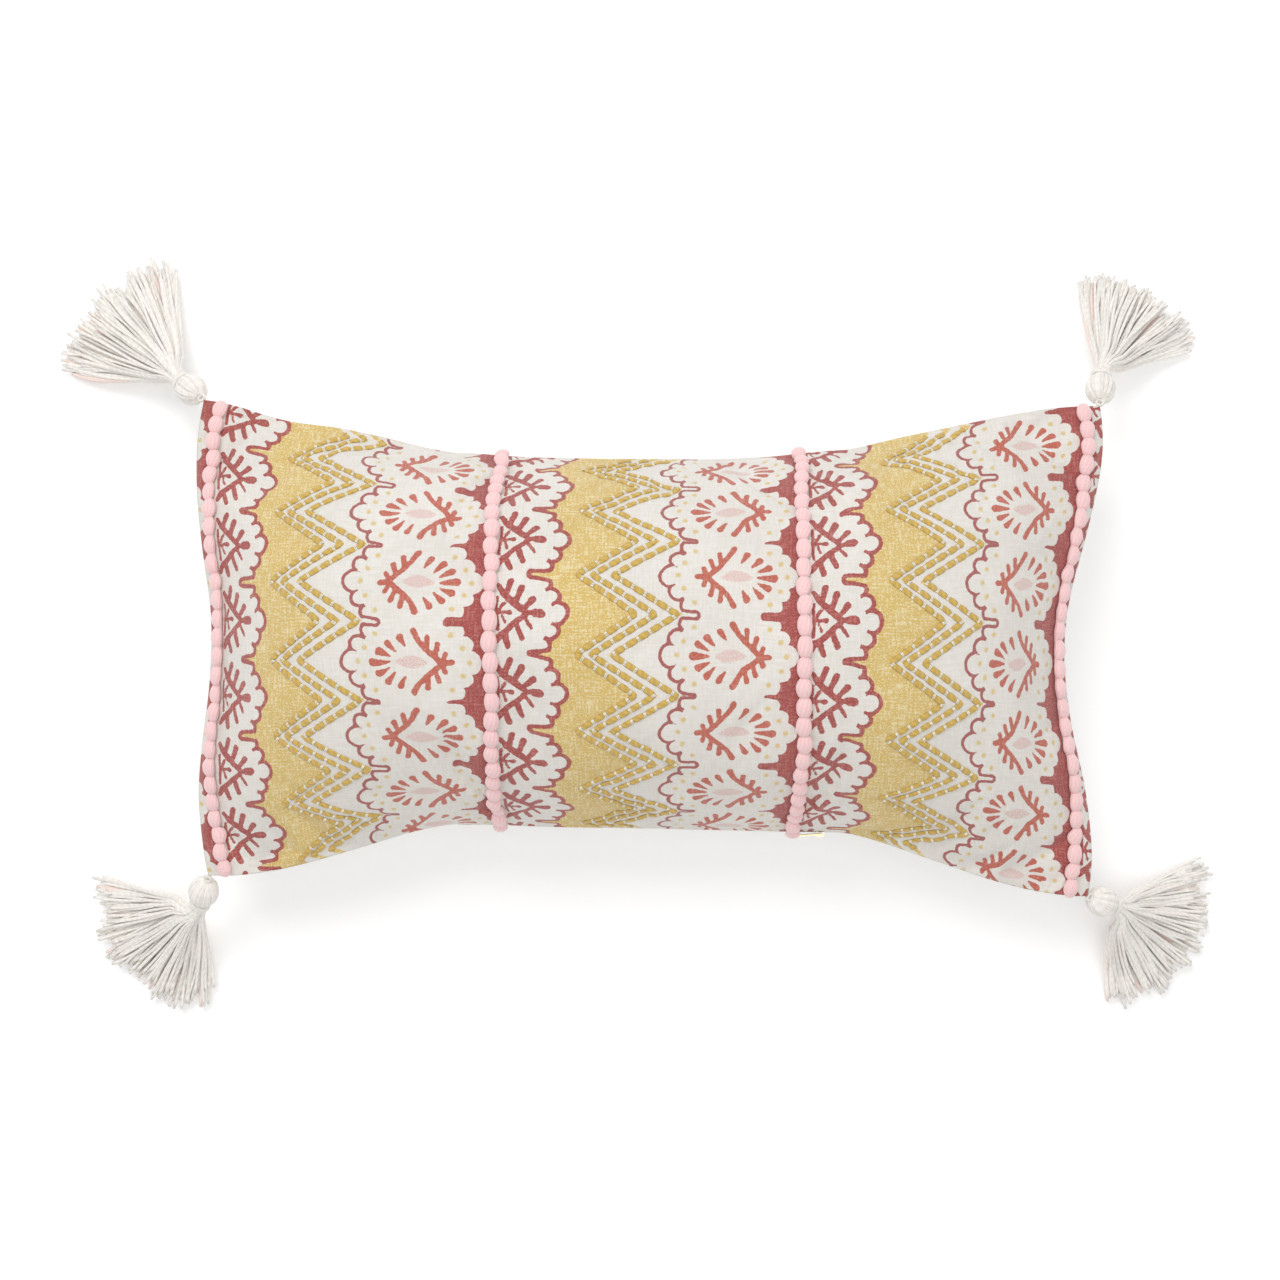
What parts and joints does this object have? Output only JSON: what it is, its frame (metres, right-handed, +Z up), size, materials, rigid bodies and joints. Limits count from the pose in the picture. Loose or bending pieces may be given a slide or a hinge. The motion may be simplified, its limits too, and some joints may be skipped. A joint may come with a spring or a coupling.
{
  "type": "throw pillow",
  "caption": "Oblong zipped throw pillow with a printed cotton front, bobble trims, couched zigzag yarns and swinging corner tassels, round a removable fibre insert.",
  "frame": {"origin": "middle of the underside of the pillow's whole box, on the surface it lies on", "axes": "+X along the pillow, +Y across it away from the zip, +Z up from the printed side"},
  "size_m": [0.7352, 0.4846, 0.1639],
  "materials": {
    "printed_cotton": "slub-weave cotton printed in mustard, brick red, coral and pale pink on off-white",
    "plain_cotton": "plain off-white slub-weave cotton",
    "casing_cloth": "white nonwoven polyester cloth",
    "polyester_fibre": "loose white polyester fibre",
    "pink_cotton": "soft pink cotton yarn, matt",
    "mustard_yarn": "thick mustard cotton yarn under cream couching stitches",
    "ivory_yarn": "soft ivory cotton yarn with a few blush strands",
    "zip_tape": "woven polyester tape",
    "zip_teeth": "nylon coil",
    "zip_metal": "plated zinc alloy, satin"
  },
  "bodies": {
    "pillow": {"cover_front": "printed_cotton", "cover_back": "plain_cotton", "insert_casing_front": "casing_cloth", "insert_casing_back": "casing_cloth", "fibre_fill": "polyester_fibre", "bobble_trim_1": "pink_cotton", "bobble_trim_2": "pink_cotton", "bobble_trim_3": "pink_cotton", "bobble_trim_4": "pink_cotton", "couched_yarn_11": "mustard_yarn", "couched_yarn_12": "mustard_yarn", "couched_yarn_13": "mustard_yarn", "couched_yarn_21": "mustard_yarn", "couched_yarn_22": "mustard_yarn", "couched_yarn_23": "mustard_yarn", "couched_yarn_31": "mustard_yarn", "couched_yarn_32": "mustard_yarn", "couched_yarn_33": "mustard_yarn", "zip_tape_front": "zip_tape", "zip_tape_back": "zip_tape", "zip_teeth_front": "zip_teeth", "zip_teeth_back": "zip_teeth", "zip_top_stop_front": "zip_metal", "zip_top_stop_back": "zip_metal", "zip_bottom_stop": "zip_metal"},
    "slider": {"zip_slider": "zip_metal"},
    "pull_tab": {"zip_pull": "zip_metal"},
    "tassel_top_left_hanger": {"tassel_top_left_loop": "ivory_yarn"},
    "tassel_top_left": {"tassel_top_left_head": "ivory_yarn", "tassel_top_left_neck_wrap": "ivory_yarn", "tassel_top_left_skirt": "ivory_yarn"},
    "tassel_top_right_hanger": {"tassel_top_right_loop": "ivory_yarn"},
    "tassel_top_right": {"tassel_top_right_head": "ivory_yarn", "tassel_top_right_neck_wrap": "ivory_yarn", "tassel_top_right_skirt": "ivory_yarn"},
    "tassel_bottom_left_hanger": {"tassel_bottom_left_loop": "ivory_yarn"},
    "tassel_bottom_left": {"tassel_bottom_left_head": "ivory_yarn", "tassel_bottom_left_neck_wrap": "ivory_yarn", "tassel_bottom_left_skirt": "ivory_yarn"},
    "tassel_bottom_right_hanger": {"tassel_bottom_right_loop": "ivory_yarn"},
    "tassel_bottom_right": {"tassel_bottom_right_head": "ivory_yarn", "tassel_bottom_right_neck_wrap": "ivory_yarn", "tassel_bottom_right_skirt": "ivory_yarn"}
  },
  "joints": [
    {"name": "zip_slide", "type": "slide", "parent": "pillow", "child": "slider", "axis": [0.9998, -0.0217, 0], "range_m": [-0.2096, 0]},
    {"name": "zip_pull_flip", "type": "hinge", "parent": "slider", "child": "pull_tab", "pos_m": [0.11319, -0.12223, 0.07311], "axis": [0, 0, 1], "range_deg": [0, 170]},
    {"name": "tassel_top_left_swing", "type": "hinge", "parent": "pillow", "child": "tassel_top_left_hanger", "pos_m": [-0.26572, 0.14433, 0.06026], "axis": [0, 0, 1], "range_deg": [-30, 30]},
    {"name": "tassel_top_left_lift", "type": "hinge", "parent": "tassel_top_left_hanger", "child": "tassel_top_left", "pos_m": [-0.26824, 0.1463, 0.05776], "axis": [0.6157, 0.788, 0], "range_deg": [0, 85]},
    {"name": "tassel_top_right_swing", "type": "hinge", "parent": "pillow", "child": "tassel_top_right_hanger", "pos_m": [0.28621, 0.14057, 0.06026], "axis": [0, 0, 1], "range_deg": [-30, 30]},
    {"name": "tassel_top_right_lift", "type": "hinge", "parent": "tassel_top_right_hanger", "child": "tassel_top_right", "pos_m": [0.28682, 0.1437, 0.05776], "axis": [0.9816, -0.1908, 0], "range_deg": [0, 85]},
    {"name": "tassel_bottom_left_swing", "type": "hinge", "parent": "pillow", "child": "tassel_bottom_left_hanger", "pos_m": [-0.26282, -0.14861, 0.06026], "axis": [0, 0, 1], "range_deg": [-30, 30]},
    {"name": "tassel_bottom_left_lift", "type": "hinge", "parent": "tassel_bottom_left_hanger", "child": "tassel_bottom_left", "pos_m": [-0.26407, -0.15155, 0.05776], "axis": [-0.9205, 0.3907, 0], "range_deg": [0, 85]},
    {"name": "tassel_bottom_right_swing", "type": "hinge", "parent": "pillow", "child": "tassel_bottom_right_hanger", "pos_m": [0.27831, -0.16138, 0.06026], "axis": [0, 0, 1], "range_deg": [-30, 30]},
    {"name": "tassel_bottom_right_lift", "type": "hinge", "parent": "tassel_bottom_right_hanger", "child": "tassel_bottom_right", "pos_m": [0.28129, -0.16252, 0.05776], "axis": [-0.3584, -0.9336, 0], "range_deg": [0, 85]}
  ]
}
